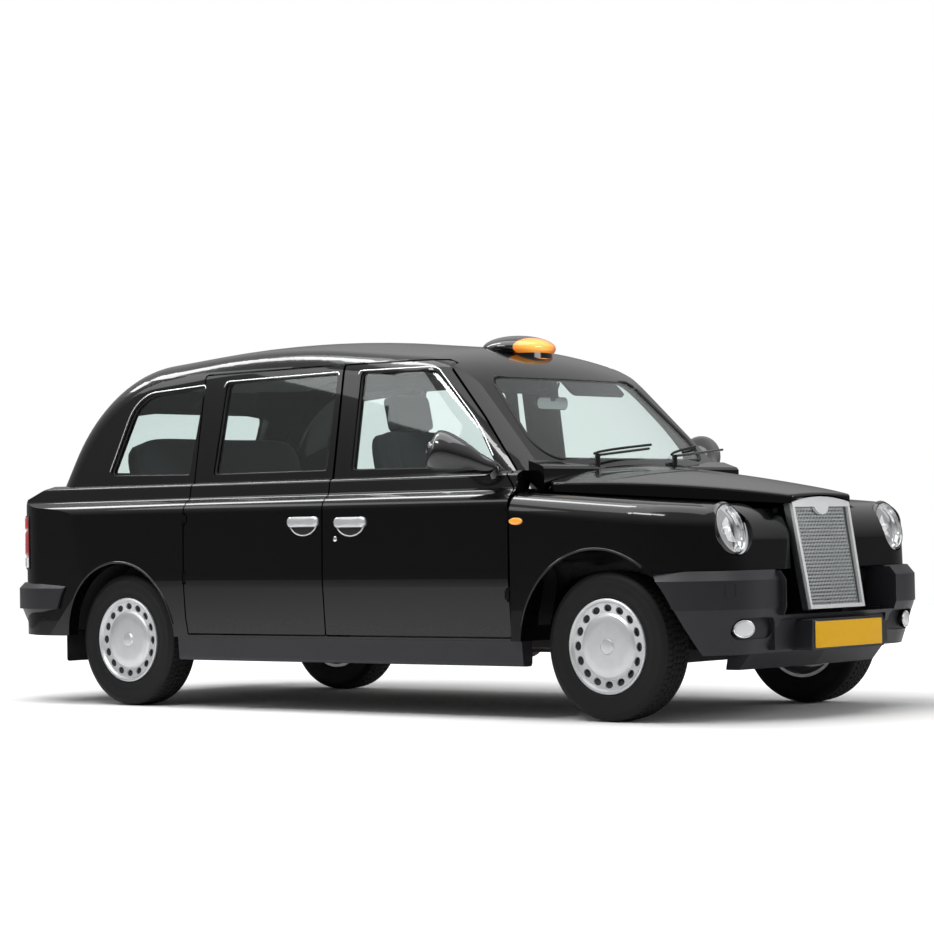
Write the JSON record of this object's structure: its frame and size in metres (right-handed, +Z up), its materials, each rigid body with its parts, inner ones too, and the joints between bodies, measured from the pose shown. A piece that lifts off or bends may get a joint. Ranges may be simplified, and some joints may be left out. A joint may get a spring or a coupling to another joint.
{
  "type": "taxi cab",
  "caption": "Tall black four-door taxi cab with a rounded roof, vintage-style wings, upright chrome grille, roof sign, opening doors, bonnet and boot lid, and steered front wheels.",
  "frame": {"origin": "middle of the ground rectangle under the whole cab, at the level the tyres stand on", "axes": "+X forwards along the cab, +Y to its left, +Z up"},
  "size_m": [4.582, 2.1208, 1.7436],
  "materials": {
    "paint": "gloss black",
    "floor": "matt black underseal",
    "dark_trim": "satin dark grey",
    "black_plastic": "gloss black",
    "cabin_plastic": "grained dark grey",
    "bright": "bright silver",
    "glass": "clear, lightly green tinted",
    "red_lens": "clear red lens",
    "seat": "dark grey cloth",
    "chassis": "satin black",
    "engine": "bare casting",
    "exhaust": "dull steel",
    "tyre": "black rubber"
  },
  "bodies": {
    "cab": {"roof": "paint", "right_body_side": "paint", "left_body_side": "paint", "tail_panel": "paint", "floor_pan": "floor", "scuttle_panel": "paint", "front_wings": "paint", "nose_panel": "paint", "sills": "dark_trim", "windscreen": "glass", "rear_window": "glass", "quarter_windows": "glass", "front_bumper": "dark_trim", "rear_bumper": "dark_trim", "grille": "bright", "front_lamps": "bright", "tail_lamps": "red_lens", "roof_sign": "black_plastic", "wipers": "black_plastic", "dashboard": "cabin_plastic", "driver_seat": "seat", "partition": "cabin_plastic", "rear_seat": "seat", "tip_seats": "seat", "chassis_frame": "chassis", "engine": "engine", "front_suspension": "chassis", "rear_axle": "chassis", "exhaust": "exhaust", "fuel_tank": "chassis"},
    "bonnet_body": {"bonnet": "paint"},
    "boot_lid_body": {"boot_lid": "paint"},
    "steering_wheel_body": {"steering_wheel": "cabin_plastic"},
    "right_front_door_body": {"right_front_door": "paint", "right_front_glass": "glass", "right_mirror": "black_plastic"},
    "right_rear_door_body": {"right_rear_door": "paint", "right_rear_glass": "glass"},
    "right_steering_body": {"right_knuckle": "chassis"},
    "right_front_wheel_body": {"right_front_tyre": "tyre", "right_front_wheel": "bright"},
    "right_rear_wheel_body": {"right_rear_tyre": "tyre", "right_rear_wheel": "bright"},
    "left_front_door_body": {"left_front_door": "paint", "left_front_glass": "glass", "left_mirror": "black_plastic"},
    "left_rear_door_body": {"left_rear_door": "paint", "left_rear_glass": "glass"},
    "left_steering_body": {"left_knuckle": "chassis"},
    "left_front_wheel_body": {"left_front_tyre": "tyre", "left_front_wheel": "bright"},
    "left_rear_wheel_body": {"left_rear_tyre": "tyre", "left_rear_wheel": "bright"}
  },
  "joints": [
    {"name": "right_front_door_hinge", "type": "hinge", "parent": "cab", "child": "right_front_door_body", "pos_m": [1.137, -0.886, 0.9], "axis": [0, 0, 1], "range_deg": [0, 65]},
    {"name": "right_rear_door_hinge", "type": "hinge", "parent": "cab", "child": "right_rear_door_body", "pos_m": [-0.857, -0.886, 0.9], "axis": [0, 0, -1], "range_deg": [0, 80]},
    {"name": "right_steering", "type": "hinge", "parent": "cab", "child": "right_steering_body", "pos_m": [1.609, -0.665, 0.32], "axis": [0, 0, 1], "range_deg": [-40, 40]},
    {"name": "right_front_wheel_spin", "type": "hinge", "parent": "right_steering_body", "child": "right_front_wheel_body", "pos_m": [1.609, -0.731, 0.32], "axis": [0, 1, 0], "continuous": true},
    {"name": "right_rear_wheel_spin", "type": "hinge", "parent": "cab", "child": "right_rear_wheel_body", "pos_m": [-1.321, -0.742, 0.32], "axis": [0, 1, 0], "continuous": true},
    {"name": "left_front_door_hinge", "type": "hinge", "parent": "cab", "child": "left_front_door_body", "pos_m": [1.137, 0.886, 0.9], "axis": [0, 0, -1], "range_deg": [0, 65]},
    {"name": "left_rear_door_hinge", "type": "hinge", "parent": "cab", "child": "left_rear_door_body", "pos_m": [-0.857, 0.886, 0.9], "axis": [0, 0, 1], "range_deg": [0, 80]},
    {"name": "left_steering", "type": "hinge", "parent": "cab", "child": "left_steering_body", "pos_m": [1.609, 0.665, 0.32], "axis": [0, 0, 1], "range_deg": [-40, 40]},
    {"name": "left_front_wheel_spin", "type": "hinge", "parent": "left_steering_body", "child": "left_front_wheel_body", "pos_m": [1.609, 0.731, 0.32], "axis": [0, 1, 0], "continuous": true},
    {"name": "left_rear_wheel_spin", "type": "hinge", "parent": "cab", "child": "left_rear_wheel_body", "pos_m": [-1.321, 0.742, 0.32], "axis": [0, 1, 0], "continuous": true},
    {"name": "bonnet_hinge", "type": "hinge", "parent": "cab", "child": "bonnet_body", "pos_m": [1.241, 0, 1.093], "axis": [0, -1, 0], "range_deg": [0, 60]},
    {"name": "boot_lid_hinge", "type": "hinge", "parent": "cab", "child": "boot_lid_body", "pos_m": [-1.963, 0, 1.048], "axis": [0, 1, 0], "range_deg": [0, 80]},
    {"name": "steering_wheel_turn", "type": "hinge", "parent": "cab", "child": "steering_wheel_body", "pos_m": [0.719, -0.37, 1.01], "axis": [-0.8713, 0, 0.4907], "range_deg": [-500, 500]}
  ],
  "couplings": [
    {"joint": "left_steering", "follows": "right_steering", "ratio": 1},
    {"joint": "steering_wheel_turn", "follows": "right_steering", "ratio": 12.4}
  ]
}
